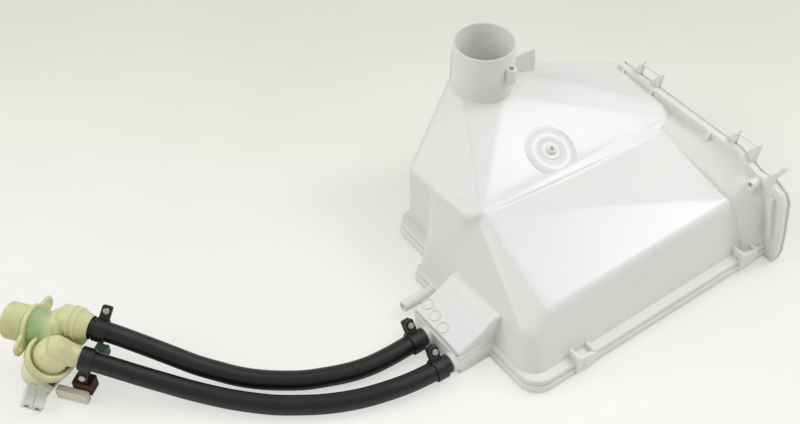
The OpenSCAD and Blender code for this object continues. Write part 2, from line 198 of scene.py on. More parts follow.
# %% Moulded plastics
def moulded(name, light, dark, rough, patch=18.0, relief=0.08, soft=0.0):
    """Principled shader: colour from broad noise, roughness and bump from fine noise, some light let in."""
    made, nodes, shader = new_finish(name, light)
    where = add(nodes, "TexCoord")
    broad = add(nodes, "TexNoise", Scale=patch, Detail=4)
    tints = ramp(nodes, dark, light, 0.32, 0.62)
    grain = add(nodes, "TexNoise", Scale=900, Detail=2)
    gloss = add(nodes, "MapRange", To_Min=rough - 0.05, To_Max=rough + 0.07)
    bump = add(nodes, "Bump", Strength=relief, Distance=0.0003)
    link(where, "Object", broad, "Vector")
    link(where, "Object", grain, "Vector")
    link(broad, "Fac", tints, "Fac")
    link(tints, "Color", shader, "Base Color")
    link(grain, "Fac", gloss, "Value")
    link(gloss, "Result", shader, "Roughness")
    link(grain, "Fac", bump, "Height")
    link(bump, "Normal", shader, "Normal")
    shader.inputs["Subsurface Weight"].default_value = soft
    shader.inputs["Subsurface Radius"].default_value = (0.004, 0.004, 0.003)
    return made


white = moulded("white_plastic", (0.80, 0.81, 0.785), (0.77, 0.78, 0.755), 0.25, patch=9, relief=0.02)
lid_white = moulded("lid_plastic", (0.83, 0.84, 0.79), (0.80, 0.81, 0.76), 0.36, patch=9, relief=0.05)
clamp_black = moulded("clamp_black", (0.012, 0.012, 0.013), (0.007, 0.007, 0.008), 0.36, patch=60)
nylon = moulded("valve_nylon", (0.73, 0.72, 0.42), (0.60, 0.60, 0.31), 0.28, patch=40, soft=0.25)
green_nylon = moulded("valve_nylon_over_green", (0.40, 0.54, 0.26), (0.30, 0.43, 0.18), 0.3, patch=55, soft=0.2)
beige = moulded("coil_beige", (0.80, 0.76, 0.60), (0.74, 0.70, 0.53), 0.42, patch=50)
milky = moulded("connector_milky", (0.78, 0.78, 0.64), (0.70, 0.70, 0.56), 0.34, patch=50, soft=0.2)
shroud_white = moulded("terminal_white", (0.76, 0.80, 0.74), (0.69, 0.74, 0.68), 0.4, patch=50)
red = moulded("connector_red", (0.065, 0.012, 0.009), (0.042, 0.007, 0.006), 0.4, patch=60)
green = moulded("connector_green", (0.02, 0.065, 0.04), (0.014, 0.045, 0.03), 0.4, patch=60)
dark_rubber = moulded("membrane_rubber", (0.02, 0.02, 0.02), (0.012, 0.012, 0.012), 0.5, patch=80)
print("plastics ready")

# %% [markdown]
# The valve's chamber is the same thin nylon all over, but a green regulator shines through its first part. So its
# finish is the greenish tint, faded into the plain one over eight millimetres along the inlet.

# %% Green that fades along the inlet
nodes = green_nylon.node_tree.nodes
fade = add(nodes, "MapRange", From_Min=-0.3205, From_Max=-0.3125)
link(distance_along(nodes, (0.788, 0.616, 0)), "Value", fade, "Value")
into_nylon = faded(nodes, nodes["Color Ramp"], (0.70, 0.70, 0.40), fade)
link(into_nylon, 2, nodes["Principled BSDF"], "Base Color")
print("green fades into nylon over 8 mm")

# %% [markdown]
# The valve's yokes, guide tubes, plungers and springs are steel, plated or drawn. Their gloss runs in fine streaks,
# so the noise is stretched along one direction before it moves the roughness.

# %% Steel
def steel(name, tint, rough, streak=(40, 40, 900)):
    """Metallic shader whose tint and roughness come from noise that is stretched into streaks."""
    made, nodes, shader = new_finish(name, tint)
    stretch = add(nodes, "Mapping", Scale=streak)
    noise = add(nodes, "TexNoise", Scale=1, Detail=3)
    tints = ramp(nodes, [0.8 * c for c in tint], tint)
    gloss = add(nodes, "MapRange", To_Min=rough - 0.08, To_Max=rough + 0.1)
    link(add(nodes, "TexCoord"), "Object", stretch, "Vector")
    link(stretch, "Vector", noise, "Vector")
    link(noise, "Fac", tints, "Fac")
    link(tints, "Color", shader, "Base Color")
    link(noise, "Fac", gloss, "Value")
    link(gloss, "Result", shader, "Roughness")
    shader.inputs["Metallic"].default_value = 1.0
    return made


zinc = steel("zinc_plate", (0.62, 0.62, 0.58), 0.38)
bright_steel = steel("drawn_steel", (0.66, 0.66, 0.65), 0.28, (900, 900, 40))
wire = steel("spring_wire", (0.55, 0.55, 0.54), 0.3, (400, 400, 400))
print("metals ready")

# %% [markdown]
# Some CAD parts are already the right shape: small turned or stamped pieces inside the valve, and the shower plate.
# They stay as they are and only get their finish. Making them again would add nothing that can be seen.

# %% Finishes of the CAD parts that stay
kept = {
    "shower_plate": lid_white, "inlet_strainer": shroud_white, "flow_regulator": green, "diaphragm_1": dark_rubber,
    "diaphragm_2": dark_rubber, "guide_tube_1": bright_steel, "guide_tube_2": bright_steel,
    "plunger_1": bright_steel, "plunger_2": bright_steel, "yoke_1": zinc, "yoke_2": zinc}
for node, finish in kept.items():
    for material_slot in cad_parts[node].material_slots:
        material_slot.material = finish
print(len(kept), "CAD parts refinished")

# %% [markdown]
# ## The hopper's skin
# The real hopper is one thin moulding: a tub and a funnel whose flat panels meet in rounded edges. A box with
# bevels can't give radii that change from corner to corner, so the skin is worked out as if stretched over balls
# at its corners, with the ball's size as the corner's radius. A ray from inside leaves such a skin where it first
# crosses one of the planes that touch it, and the tub and the funnel flow into each other by a soft maximum.

# %% Balls at the corners
tub_balls = np.array([
    [-58, -73, 4, 4], [-41, -98, 4, 5], [73.4, -90, 4, 14], [73.4, 116, 4, 14], [-58, 116, 4, 4],
    [-57, -73, 58, 5], [-40, -88, 34, 8], [61.7, -85.7, 30, 12], [58, -72, 38.4, 12], [-16, -66.8, 68.3, 6],
    [-13, 1, 62.3, 6], [-15, 114, 57, 6], [58, 116, 38.4, 12]], float)
funnel_balls = np.array([
    [-88, -74, 4, 4], [-24, -74, 4, 4], [-16, 120, 4, 4], [-87, 144, 4, 4], [-16, 144, 4, 4],
    [-89, -73, 61.5, 5], [-24, -72.5, 65, 5], [-18, -67.5, 70.4, 4], [-93, 35.5, 98.5, 4], [-50, 90, 75, 4],
    [-28, 103, 65.2, 4], [-16, 107, 59.5, 4], [-84, 128, 62, 4], [-84, 144, 60, 4], [-16, 144, 59, 4]], float)
pipe_foot = np.array([-104, 0, 103.5])
foot_lean = math.radians(8)
print(len(tub_balls), "balls for the tub and", len(funnel_balls), "for the funnel")

# %% [markdown]
# The skin over the balls is flat between three of them, so a convex hull of points spread on all the balls gives the
# planes that touch it. Where the funnel meets the pipe, a leaning ring takes the place of a ball.

# %% Planes that touch the balls
def touching_planes(balls, thin=0.0, foot_radius=None):
    """The convex hull of points spread over the balls; each hull face gives a plane's direction and distance."""
    lat = np.linspace(-np.pi / 2, np.pi / 2, 25)[:, None]
    lon = np.linspace(0, 2 * np.pi, 48, endpoint=False)[None, :]
    unit = np.stack([np.cos(lat) * np.cos(lon), np.cos(lat) * np.sin(lon), np.sin(lat) + 0 * lon], -1).reshape(-1, 3)
    points = (balls[:, None, :3] + (balls[:, None, 3:] - thin) * unit[None]).reshape(-1, 3)
    if foot_radius:
        a = np.linspace(0, 2 * np.pi, 120, endpoint=False)
        ring = np.stack([np.cos(a) * math.cos(foot_lean), np.sin(a), -np.cos(a) * math.sin(foot_lean)], -1)
        points = np.concatenate([points, pipe_foot - [0, 0, 0.7 * thin] + (foot_radius - thin) * ring])
    hull = bmesh.new()
    mesh = bpy.data.meshes.new("hull")
    mesh.from_pydata(points.tolist(), [], [])
    hull.from_mesh(mesh)
    bmesh.ops.convex_hull(hull, input=hull.verts, use_existing_faces=False)
    bmesh.ops.delete(hull, geom=[v for v in hull.verts if not v.link_faces], context="VERTS")
    bmesh.ops.recalc_face_normals(hull, faces=hull.faces)
    hull.to_mesh(mesh)
    hull.free()
    n = np.zeros(len(mesh.polygons) * 3, np.float32)
    c = np.zeros(len(mesh.polygons) * 3, np.float32)
    mesh.polygons.foreach_get("normal", n)
    mesh.polygons.foreach_get("center", c)
    bpy.data.meshes.remove(mesh)
    n, c = n.reshape(-1, 3), c.reshape(-1, 3)
    return n, (n * c).sum(1)


def reach(planes, start, rays):
    """How far each ray goes from start: the least of (distance left) / (speed towards the plane)."""
    n, d = planes
    left = (d - n @ start.astype(np.float32)).astype(np.float32)
    far = np.empty(len(rays), np.float32)
    for part in np.array_split(np.arange(len(rays)), max(1, len(rays) // 4000)):
        speed = rays[part].astype(np.float32) @ n.T
        far[part] = np.where(speed > 1e-5, left / np.maximum(speed, 1e-5), 1e9).min(1)
    return far


def soft_max(a, b, width):
    """The larger of two lengths, rounded where they are within about width of each other."""
    return 0.5 * (a + b + np.sqrt((a - b) ** 2 + width**2))


hub = np.array([-33.0, 9.7, 8.0])
print("the hub is under the gate disc, at", hub)

# %% [markdown]
# The grid of rays leaves the hub under the gate disc: one row for each direction round the housing, one column for
# each height. Rays that would pass the drawer's opening stop at its plane, and the faces lying there are left out,
# as are the faces over the outlet pipe's bore, whose edge is drawn onto a circle inside the pipe's wall.

# %% Skin of the hopper
opening_cuts = ((131.2, -1e9), (108.0, -13.0))  # past this y, where x is more than this
bore_radius, foot_plane, foot_slope = 22.7, 102.3, 0.1405


def hopper_skin(rows, columns, thin, blend):
    """Rays from the hub: each point is hub + direction * soft maximum of the tub's and the funnel's reach."""
    round_it = np.linspace(0, 2 * np.pi, rows, endpoint=False)[:, None]
    s = np.linspace(0, 1, columns)[None, :]
    height = np.radians(np.interp(s, [0, 0.1, 0.5, 1], [0, 4, 32, 90])) + 0 * round_it
    rays = np.stack([np.cos(height) * np.cos(round_it), np.cos(height) * np.sin(round_it), np.sin(height)], -1)
    flat = rays.reshape(-1, 3)
    tub = reach(touching_planes(tub_balls, thin), hub, flat)
    funnel = reach(touching_planes(funnel_balls, thin, 24.2), hub, flat)
    far = soft_max(tub, funnel, blend).reshape(rows, columns)
    for _ in range(2):
        far[:, 1:-1] = (
            far[:, 1:-1] * 0.5
            + 0.125 * (np.roll(far, 1, 0) + np.roll(far, -1, 0))[:, 1:-1]
            + 0.125 * (far[:, 2:] + far[:, :-2])
        )
    points = hub + rays * far[..., None]
    cut = np.zeros(points.shape[:2], bool)
    for limit, from_x in opening_cuts:
        over = (points[..., 1] > limit) & (points[..., 0] > from_x)
        cut |= over
        share = np.where(over, (limit - hub[1]) / np.maximum(points[..., 1] - hub[1], 1e-6), 1.0)
        points = hub + (points - hub) * share[..., None]
    out = points[..., :2] - pipe_foot[:2]
    r = np.linalg.norm(out, axis=-1)
    at_foot = points[..., 2] > foot_plane - foot_slope * out[..., 0]
    near = (np.abs(r - bore_radius) < 1.5) & at_foot
    fixed = pipe_foot[:2] + out / np.maximum(r, 1e-6)[..., None] * bore_radius
    points[..., :2] = np.where(near[..., None], fixed, points[..., :2])
    p, faces = grid(points, wrap_rows=True)
    bore = (r < bore_radius + 0.1) & at_foot
    open_there = cut.ravel()[faces[0]].all(1) | bore.ravel()[faces[0]].all(1)
    return p, [faces[0][~open_there]]


fine_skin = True
outer = hopper_skin(440 if fine_skin else 300, 150 if fine_skin else 110, 0.0, 5.0)
inner = hopper_skin(180, 70, 2.0, 5.0)
piece("hopper_skin", joined(outer, inner), white, replaces=["hopper"], crisp=60, turn_out=False)

# %% [markdown]
# ## Profiles carried along a line
# Most of the other mouldings are one section that runs along a line: the flange round the seam, the frame of the
# drawer's opening, a hose. A flat line with rounded corners comes first, then the carrying itself.

# %% Lines with rounded corners
def rounded(corners, per_arc=10):
    """Closed flat line: each corner (x, y, radius) becomes an arc that touches both its sides.
    The least radius is 0.45, so that a plate's bevel fits in it."""
    c = np.array(corners, float)
    p, r = c[:, :2], np.maximum(c[:, 2:], 0.45)
    before, after = np.roll(p, 1, 0) - p, np.roll(p, -1, 0) - p
    before /= np.linalg.norm(before, axis=1, keepdims=True)
    after /= np.linalg.norm(after, axis=1, keepdims=True)
    half = 0.5 * np.arccos(np.clip((before * after).sum(1, keepdims=True), -0.9999, 0.9999))
    mid = (before + after) / np.linalg.norm(before + after, axis=1, keepdims=True)
    centre = p + mid * r / np.sin(half)
    a, b = p + before * r / np.tan(half) - centre, p + after * r / np.tan(half) - centre
    sweep = (np.pi - 2 * half)[:, None]
    w = np.linspace(0, 1, per_arc)[None, :, None]
    arc = (np.sin((1 - w) * sweep) * a[:, None] + np.sin(w * sweep) * b[:, None]) / np.sin(sweep)
    return (centre[:, None] + arc).reshape(-1, 2)


def outward(line):
    """Unit normals of a closed flat line, on its right-hand side: the turned direction between neighbours."""
    d = np.roll(line, -1, 0) - np.roll(line, 1, 0)
    d /= np.maximum(np.linalg.norm(d, axis=1, keepdims=True), 1e-9)
    n = np.stack([d[:, 1], -d[:, 0]], 1)
    area = 0.5 * np.sum(line[:, 0] * np.roll(line[:, 1], -1) - line[:, 1] * np.roll(line[:, 0], -1))
    return n if area > 0 else -n


def around(line, profile, level_axes=(0, 1), height_axis=2):
    """Carries a section round a closed flat line: point = line + outward * first number, height = second."""
    flat = line[:, None] + outward(line)[:, None] * profile[None, :, :1]
    made = np.zeros((len(line), len(profile), 3))
    made[..., level_axes[0]], made[..., level_axes[1]] = flat[..., 0], flat[..., 1]
    made[..., height_axis] = profile[None, :, 1]
    return made


facing_x, facing_y = ((1, 2), 0), ((0, 2), 1)

def plate(line, low, high, bevel=0.3, level_axes=(0, 1), height_axis=2, rim=None):
    """A flat closed line given thickness: a rim profile is carried round it, and two flat faces close it."""
    if rim is None:
        rim = np.array([[-bevel, low], [0, low + bevel], [0, high - bevel], [-bevel, high]])
    p, faces = grid(around(line, rim, level_axes, height_axis), wrap_rows=True)
    first = np.arange(len(line)) * len(rim)
    return p, [*faces, first[None, ::-1], first[None] + len(rim) - 1]


def directions(line, centre):
    """The angle and distance of a line's points seen from a centre, in order of angle. Each side is cut into ten."""
    w = np.linspace(0, 1, 10, endpoint=False)[None, :, None]
    out = (line[:, None] * (1 - w) + np.roll(line, -1, 0)[:, None] * w).reshape(-1, 2) - centre
    a, r = np.arctan2(out[:, 1], out[:, 0]), np.linalg.norm(out, axis=1)
    order = np.argsort(a)
    return a[order], r[order]


def seen_at(line, centre, angles):
    """The line's points in the given directions: centre + distance at the angle * (cosine, sine)."""
    a, r = directions(line, centre)
    return centre + np.interp(angles, a, r, period=2 * np.pi)[:, None] * np.stack([np.cos(angles), np.sin(angles)], 1)


def holed(line, centre, radius, low, high, bevel=0.3, level_axes=(0, 1), height_axis=2):
    """A plate with a round hole: the outer line and the hole are read in the same directions from its centre."""
    centre = np.array(centre, float)
    own = np.arctan2(line[:, 1] - centre[1], line[:, 0] - centre[0])
    angles = np.unique(np.round(np.concatenate([own, np.linspace(-3.14, 3.14, 48, endpoint=False)]), 2))
    line = seen_at(line, centre, angles)
    side = np.stack([np.cos(angles), np.sin(angles)], 1)
    rim = np.array([[-bevel, low], [0, low + bevel], [0, high - bevel], [-bevel, high]])
    outer = around(line, rim, level_axes, height_axis)
    hole = np.zeros((len(line), 4, 3))
    reach_out = np.array([radius + bevel / 2, radius, radius, radius + bevel / 2])
    flat = centre + side[:, None] * reach_out[None, :, None]
    hole[..., level_axes[0]], hole[..., level_axes[1]] = flat[..., 0], flat[..., 1]
    hole[..., height_axis] = np.array([high, high - bevel / 2, low + bevel / 2, low])
    return grid(np.concatenate([outer, hole], 1), True, True)


def box_line(x0, y0, x1, y1, radius=0.6):
    """The outline of a rectangle with rounded corners."""
    return rounded([(x0, y0, radius), (x1, y0, radius), (x1, y1, radius), (x0, y1, radius)], 6)


seam = rounded([
    (-95, 131.5, 0.3), (-97, -87, 13), (-47, -87, 11), (-46.5, -105.5, 5.5), (92, -105.5, 16), (92, 131.5, 0.3)])
print("the seam is", round(float(np.linalg.norm(np.diff(seam, axis=0), axis=1).sum())), "mm long")

# %% [markdown]
# The hopper ends in a flange that sits on the lid. Its section has a soft outer edge and a thin shadow line at
# the seam; the inner edge is drawn towards the hub, so that it ends inside the wall without crossing itself.

# %% Flange round the seam
edge = np.array([[-1.0, 8.15], [-0.3, 8.2], [0, 8.6], [0, 12.2], [-0.5, 12.85], [-1.2, 13.0]])
flange = around(seam, edge)
drawn_in = flange[:, -1:] + (np.append(hub[:2], 0)[None, None] - flange[:, -1:] * [1, 1, 0]) * 0.085
drawn_in[..., 2] = 13.05
below = drawn_in.copy()
below[..., 2] = 8.15
ring = np.concatenate([flange, drawn_in, below], 1)
piece("hopper_flange", grid(ring, True, True), white, crisp=50)

# %% [markdown]
# The lid is a shallow tray. Seen from outside it is a band with a rounded foot, one millimetre prouder than the
# flange above it, and its bottom is flat where it rests. The inlet box is moulded on it and carries two spigots.

# %% Lid
lid_rim = np.array([[-1.8, 0], [-0.5, 0.2], [0.5, 0.8], [1.0, 1.9], [1.0, 6.9], [0.75, 7.6], [0.2, 7.95], [-0.6, 7.95]])
piece("lid_tray", plate(seam, 0, 8, rim=lid_rim), lid_white, replaces=["lid"], crisp=50)
box_rim = np.array([[-1.2, 0], [-0.3, 0.3], [0, 1.2], [0, 14.9], [-0.2, 15.4], [-0.8, 15.5]])
box_outline = rounded([(-9, -133, 2.2), (45, -133, 2.2), (45, -98, 1), (-9, -98, 1)], 8)
piece("inlet_box", plate(box_outline, 0, 15.5, rim=box_rim), lid_white, crisp=50)

# %% [markdown]
# The mouth of the drawer widens towards the front: a collar starts in a crease on the panel and rises to the frame.
# Its section changes on the way, so each row of points holds one place on the crease and one at the frame, and the
# columns go from the first to the second. A Catmull-Rom line joins the measured rows smoothly.

# %% Collar
def smooth_line(points, steps=12):
    """Catmull-Rom: for t from 0 to 1 between b and c, with neighbours a and d, half of
    2b + (c-a)t + (2a-5b+4c-d)t^2 + (3b-a-3c+d)t^3."""
    p = np.concatenate([2 * points[:1] - points[1:2], points, 2 * points[-1:] - points[-2:-1]])
    a, b, c, d = p[:-3, None], p[1:-2, None], p[2:-1, None], p[3:, None]
    t = np.linspace(0, 1, steps, endpoint=False)[None, :, None]
    line = 0.5 * (2 * b + (c - a) * t + (2 * a - 5 * b + 4 * c - d) * t**2 + (3 * b - a - 3 * c + d) * t**3)
    return np.concatenate([line.reshape(-1, points.shape[1]), points[-1:]])


sections = smooth_line(np.array([
    [-88, 52, -86, 65.6], [-60, 55, -60, 65.4], [-36, 60, -36, 65.2], [-20, 63.6, -20, 65.8], [2, 62.0, 2, 68.2],
    [24, 59.6, 22, 70], [46, 56.9, 46, 70], [60, 54.6, 61, 66.6], [67.5, 50, 71.5, 62.6], [73, 41, 79, 55],
    [79, 30, 83.5, 42], [86, 16, 88, 22], [91.6, 5, 92, 5]]), 8)
along = np.array([
    [-9, 104.6], [-5, 104.8], [-2.6, 105.3], [-1.2, 106.2], [-0.4, 107.6], [0, 109.5], [0, 114], [0, 120], [0, 127.5],
    [-2, 127.5], [-2.5, 109.5], [-9, 108.5]])
share = np.clip((along[:, 1] - 107) / 20, 0, 1)[None, :, None]
flat = sections[:, None, :2] * (1 - share) + sections[:, None, 2:] * share
side = np.gradient(flat, axis=0)
side /= np.linalg.norm(side, axis=-1, keepdims=True)
flat = flat + np.stack([-side[..., 1], side[..., 0]], -1) * along[None, :, :1]
collar = np.stack([flat[..., 0], np.broadcast_to(along[None, :, 1], flat.shape[:2]), flat[..., 1]], -1)
piece("collar", grid(collar, False, True), white, crisp=60)

# %% [markdown]
# ## Frame of the drawer's opening
# Two thin ribs with a groove between them run round the opening, for a seal. The back and front faces reach from
# the ribs in to the opening, so the two outlines are read in the same directions from a point in the middle.

# %% Front frame
outer_line = rounded([
    (-94, 40, 2), (-83, 61, 1), (-82, 74.5, 1.5), (45, 74.5, 3), (68, 67.5, 3), (81, 68, 2), (92, 63, 4),
    (96.4, 56, 3), (98, 45, 3), (101, 26, 3), (102.5, 10, 3), (101, 0, 0.5), (-96, 0, 0.5)], 6)
inner_line = rounded([
    (-90, 40, 2), (-86, 58, 1), (-82, 62, 1.5), (45, 53, 3), (60, 49.5, 3), (65, 44, 2), (68, 40, 1),
    (70, 36.5, 1), (72.5, 32, 1), (77, 24, 1), (83, 11, 1), (84, 8, 0.5), (-89.5, 8, 0.5)], 6)
middle = np.array([0.0, 35.0])
every = np.unique(np.round(np.concatenate([
    np.arctan2(line[:, 1] - middle[1], line[:, 0] - middle[0]) for line in (outer_line, inner_line)]), 3))
lip = np.array([
    [-3.5, 124.9], [-0.6, 125.1], [0, 125.6], [0, 130.2], [-0.3, 130.6], [-4.5, 130.7], [-4.5, 131.9], [-0.3, 132.0],
    [0, 132.3], [0, 133.6], [-0.5, 134]])
around_it = np.maximum(seen_at(outer_line, middle, every), [-200, 0.2])
rim = around(around_it, lip, *facing_y)
hole = seen_at(inner_line, middle, every)
hole = np.stack([hole[:, 0], np.full(len(hole), 134.0), hole[:, 1]], -1)[:, None]
back = hole - [0, 8.5, 0]
stile = rounded([(85, 59, 0.8), (88, 59, 0.8), (95, 24, 0.8), (91.5, 24, 0.8)], 5)
piece("front_frame", joined(
    grid(np.concatenate([rim, hole, back], 1), True, True), plate(stile, 121, 127, 0.4, *facing_y)),
    white, crisp=50)

# %% [markdown]
# Two loops stand on the frame: leaning gussets with a bar between them, which catch in the machine's panel.
# A thin bracket and a screw boss sit at the frame's upper corner, and small gussets stiffen its edge.

# %% Loops, bracket and gussets
for number, x in enumerate((-71.4, 29.6), 1):
    left = rounded([(x - 1, 68, 0.3), (x + 8.6, 68, 0.3), (x + 8.6, 73, 1), (x + 11, 85.8, 0.5), (x + 9.6, 85.8, 0.5),
                    (x, 73, 1)], 5)
    right_one = rounded([(x + 20, 68, 0.3), (x + 29.4, 68, 0.3), (x + 29.4, 73, 1), (x + 30.8, 87.6, 0.5),
                         (x + 29.2, 87.6, 0.5), (x + 21.3, 75, 1)], 5)
    bar = box_line(x + 9.4, 84.0, x + 29.6, 85.8, 0.5)
    piece(f"loop_{number}", joined(
        plate(left, 129.8, 133.8, 0.35, *facing_y), plate(right_one, 129.8, 133.8, 0.35, *facing_y),
        plate(bar, 130.3, 133.7, 0.35, *facing_y)), white)
tab = rounded([(70, 62, 1), (77, 71, 3), (86, 88, 0.7), (88.6, 85.6, 0.7), (81, 70, 3), (87, 60, 1)], 6)
boss_line = rounded([(66, 56, 1), (73, 56, 1), (73.6, 63, 3.3), (69.5, 67, 3.3), (65.4, 63, 3.3)], 8)
piece("corner_bracket", joined(
    plate(tab, 126, 130, 0.4, *facing_y), holed(boss_line, (69.5, 62.5), 1.8, 117, 127, 0.4, *facing_y),
    plate(box_line(68, 40, 71, 60, 0.4), 119, 127, 0.3, *facing_y)), white)
stay = rounded([(117, 58, 0.3), (127, 58, 0.3), (127, 73.5, 0.3), (123.5, 73.5, 1.2)], 5)
stays = [plate(stay, x, x + 2.4, 0.3, *facing_x) for x in (-76, -44, 18)]
piece("frame_gussets", joined(*stays), white)

# %% [markdown]
# ## Inlet box
# The upper half of the inlet box is a sloping cap that grows out of the back wall. Its top is a height that rises
# with the distance from the end, with a soft crest before the wall; across, each section is a rounded arch.

# %% Cap of the inlet box
def cap_height(y):
    """Height of the cap over y: a polyline through its measured heights, softened by averaging thirteen neighbours."""
    fine = np.linspace(-134, -80, 217)
    measured = np.array([
        [-134, 20.9], [-130, 22.4], [-112, 29.8], [-105, 35.6], [-100.5, 38.3], [-97, 37.1], [-93, 36.9], [-84, 37.2]])
    z = np.interp(fine, *measured.T)
    z = np.convolve(np.pad(z, 6, mode="edge"), np.ones(13) / 13, "valid")
    return np.interp(y, fine, z)


y = np.concatenate([[-132.9, -132.9, -132.8, -132.4, -131.8], np.linspace(-130.8, -84, 60)])
inset = np.concatenate([[9, 0.9, 0.35, 0.1, 0], np.zeros(60)])
top = cap_height(y) - inset
w = np.linspace(0, 1, 7)
corner_arc = np.stack([1.8 * (1 - np.cos(w * np.pi / 2)), 1.8 * (1 - np.sin(w * np.pi / 2))], 1)
left_arc = np.stack([corner_arc[:, 0], 1.8 - corner_arc[:, 1]], 1)
right_arc = left_arc[::-1] * [-1, 1]
across = np.concatenate([
    np.stack([-8 + inset, np.full(65, 15.6)], 1)[:, None],
    np.stack([-8 + inset, top - 1.8], 1)[:, None] + left_arc,
    np.stack([43 - inset, top - 1.8], 1)[:, None] + right_arc,
    np.stack([43 - inset, np.full(65, 15.6)], 1)[:, None]], 1)
cap = np.stack([across[..., 0], np.broadcast_to(y[:, None], across.shape[:2]), across[..., 1]], -1)
lower_rim = np.array([[-1.5, 15.6], [0.9, 15.6], [1.3, 15.95], [1.3, 17.0], [0.9, 17.4], [-1.5, 17.5]])
cap_line = rounded([(-8, -133, 2), (43, -133, 2), (43, -98, 1), (-8, -98, 1)], 8)
piece("inlet_cap", joined(grid(cap), grid(around(cap_line, lower_rim), True, True)), white, crisp=45)

# %% [markdown]
# ## Turned shapes
# The outlet pipe, the gate disc, the valve's domes and its thread are all round about an axis: a profile of
# radius and height is turned about it. A small function places them on any axis.

# %% Profiles turned about an axis
def turned(profile, steps=96, wobble=None):
    """Rotates (radius, height) pairs about Z; wobble(angle, height) may add to the radius."""
    a = np.linspace(0, 2 * np.pi, steps, endpoint=False)[:, None]
    r, z = profile[None, :, 0] + 0 * a, profile[None, :, 1] + 0 * a
    if wobble is not None:
        r = r + wobble(a, z)
    return np.stack([r * np.cos(a), r * np.sin(a), z], -1)


def placed(points, at=(0, 0, 0), axis=(0, 0, 1)):
    """Turns +Z onto axis and moves the shape to at."""
    z = np.array(axis, float)
    z /= np.linalg.norm(z)
    x = np.cross([0, 1, 0], z) if abs(z[1]) < 0.95 else np.cross([1, 0, 0], z)
    x /= np.linalg.norm(x)
    return points @ np.array([x, np.cross(z, x), z]) + np.array(at, float)


pipe_profile = np.array([
    [24.5, 97], [24.2, 103], [24.0, 110], [23.85, 130.6], [23.4, 131], [23.4, 138.8], [23.1, 139.7], [22.65, 140],
    [22.2, 139.7], [21.9, 138.8], [21.9, 96]])
pipe = placed(turned(pipe_profile, 128), (-104, 0, 0))
piece("outlet_pipe", grid(pipe, True, True), white, crisp=60)

# %% [markdown]
# A short eye, a rib and a fin stand on the outlet pipe: the boot's clip hooks into the eye, and the fin ties the
# pipe to the panel beside it.

# %% Fittings on the outlet pipe
def round_pipe(degrees, radius):
    """The place at an angle round the pipe: its centre + radius * (cosine, sine)."""
    a = math.radians(degrees)
    return pipe_foot[:2] + radius * np.array([math.cos(a), math.sin(a)])


eye_at = round_pipe(11, 26.4)
eye_profile = np.array([[2.1, 129], [3.6, 129], [4.1, 128.5], [4.3, 120], [3.9, 116.5], [3.4, 116], [2.1, 116]])
eye_tube = turned(eye_profile, 40) + np.append(eye_at, 0)
c, s = math.cos(4.084), math.sin(4.084)
rib = box_line(-1.8, -2, 1.8, 2, 0.7) @ np.array([[c, s], [-s, c]]) + round_pipe(234, 23.0)
fin = rounded([(20, 96, 0.3), (46, 94, 0.3), (46, 106, 1.5), (44, 118, 1.2), (20, 118.5, 0.3)], 6)
piece("pipe_eye", grid(eye_tube, True, True), white, crisp=45)
piece("pipe_rib", plate(rib, 106, 128, 0.5), white)
piece("pipe_fin", plate(fin, -98, -96, 0.4, *facing_x), white)

# %% [markdown]
# The gate disc closes the place where the moulding was filled: a raised round face with a fine step at its edge,
# a broken ring and a small boss in the middle. It has to lie flat on a panel that leans, so the panel's slope is
# taken from the skin's own points by least squares: height = a * x + b * y + c.

# %% Gate disc
near_disc = outer[0][(np.linalg.norm(outer[0][:, :2] - hub[:2], axis=1) < 19) & (outer[0][:, 2] > 60)]
level = np.c_[near_disc[:, :2] - hub[:2], np.ones(len(near_disc))]
slope = np.linalg.lstsq(level, near_disc[:, 2], rcond=None)[0]
disc_profile = np.array([
    [21.0, -1.2], [20.8, 0.0], [20.5, 0.42], [20.1, 0.48], [19.8, 0.1], [19.4, 0.08], [19.0, 0.36], [8.6, 0.4],
    [8.3, 0.15], [7.8, 0.15], [7.5, 0.4], [6.8, 0.62], [5.6, 0.6], [4.4, 0.55], [3.8, 0.9], [3.4, 2.7],
    [2.8, 3.3], [2.0, 3.3], [1.6, 2.9], [1.4, 0.6], [0, 0.5]])
disc = placed(turned(disc_profile, 120), (*hub[:2], slope[2]), (-slope[0], -slope[1], 1))
piece("gate_disc", grid(disc, True), white, crisp=60)
print("the panel under the disc leans by", np.round(slope[:2], 3), "and lies at", round(float(slope[2]), 1))
ring_profile = np.array([[3.7, -0.8], [3.7, 0.35], [3.95, 0.6], [4.25, 0.6], [4.5, 0.35], [4.5, -0.8]])
rings = []
for x, y_at in ((-3.5, -124.6), (7.6, -126.4), (18.7, -128.2)):
    fall = (cap_height(y_at + 1) - cap_height(y_at - 1)) / 2
    rings.append(grid(placed(turned(ring_profile, 56), (x, y_at, cap_height(y_at)), (0, -fall, 1)), True))
piece("box_rings", joined(*rings), white, crisp=60)

# %% [markdown]
# Two spigots and a small stub come out of the inlet box. They are bored, with a collar that stops the hose.

# %% Spigots
spigot = np.array([
    [3.0, -2], [3.0, 20.6], [3.4, 21], [4.2, 21], [4.5, 20.6], [4.5, 6.6], [7.2, 6.5], [7.5, 6.2], [7.5, 2.0],
    [7.5, 0.5], [3.0, 0.4]])
spigots = [grid(placed(turned(spigot, 48), (x, -131, 10), (0, -1, 0)), True) for x in (9, 38)]
stub = np.array([[2.6, 20], [2.6, 28.6], [2.9, 29], [3.8, 29], [4.2, 28.5], [4.3, 24], [4.3, 0]])
spigots.append(grid(placed(turned(stub, 48), (-23, -104, 8), (0, -1, 0)), True))
bottom = np.array([[0, 20], [2.7, 20]])
spigots.append(grid(placed(turned(bottom, 48), (-23, -104, 8), (0, -1, 0)), True))
piece("spigots", joined(*spigots), lid_white, crisp=50)

